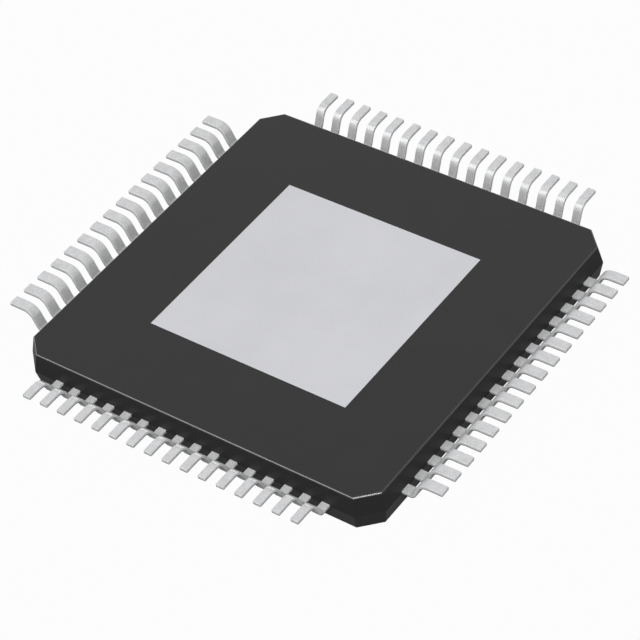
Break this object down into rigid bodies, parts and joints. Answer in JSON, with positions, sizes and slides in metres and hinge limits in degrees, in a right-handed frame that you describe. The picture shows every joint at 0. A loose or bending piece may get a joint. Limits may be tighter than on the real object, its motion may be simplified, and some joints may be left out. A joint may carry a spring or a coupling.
{
  "type": "integrated circuit",
  "caption": "Thin square chip package with gull-wing leads on all four sides and a flush exposed thermal pad, lying pad side up.",
  "frame": {"origin": "centre of the marked face, which lies on the floor at z = 0", "axes": "+Z out of the exposed pad, towards the circuit board it is soldered to; X and Y along the sides; pin one is at the -X, -Y corner, on the -X side, and pins count clockwise seen from +Z. The package lies as pictured, on its marked face, so it is turned over by 180 degrees about X or Y to stand on its feet."},
  "size_m": [0.0122, 0.0122, 0.001],
  "materials": {
    "mould_compound": "matte black moulded epoxy",
    "plated_pad": "matte tin",
    "tinned_copper": "matte tin",
    "silver_epoxy": "silver-filled adhesive",
    "silicon": "polished silicon",
    "gold_wire": "bright gold"
  },
  "bodies": {
    "root": {"mould_body": "mould_compound", "die_paddle": "plated_pad", "die_attach": "silver_epoxy", "silicon_die": "silicon", "leads_01_to_04": "tinned_copper", "leads_05_to_08": "tinned_copper", "leads_09_to_12": "tinned_copper", "leads_13_to_16": "tinned_copper", "leads_17_to_20": "tinned_copper", "leads_21_to_24": "tinned_copper", "leads_25_to_28": "tinned_copper", "leads_29_to_32": "tinned_copper", "leads_33_to_36": "tinned_copper", "leads_37_to_40": "tinned_copper", "leads_41_to_44": "tinned_copper", "leads_45_to_48": "tinned_copper", "leads_49_to_52": "tinned_copper", "leads_53_to_56": "tinned_copper", "leads_57_to_60": "tinned_copper", "leads_61_to_64": "tinned_copper", "bond_wires_01_to_04": "gold_wire", "bond_wires_05_to_08": "gold_wire", "bond_wires_09_to_12": "gold_wire", "bond_wires_13_to_16": "gold_wire", "bond_wires_17_to_20": "gold_wire", "bond_wires_21_to_24": "gold_wire", "bond_wires_25_to_28": "gold_wire", "bond_wires_29_to_32": "gold_wire", "bond_wires_33_to_36": "gold_wire", "bond_wires_37_to_40": "gold_wire", "bond_wires_41_to_44": "gold_wire", "bond_wires_45_to_48": "gold_wire", "bond_wires_49_to_52": "gold_wire", "bond_wires_53_to_56": "gold_wire", "bond_wires_57_to_60": "gold_wire", "bond_wires_61_to_64": "gold_wire"}
  },
  "joints": []
}
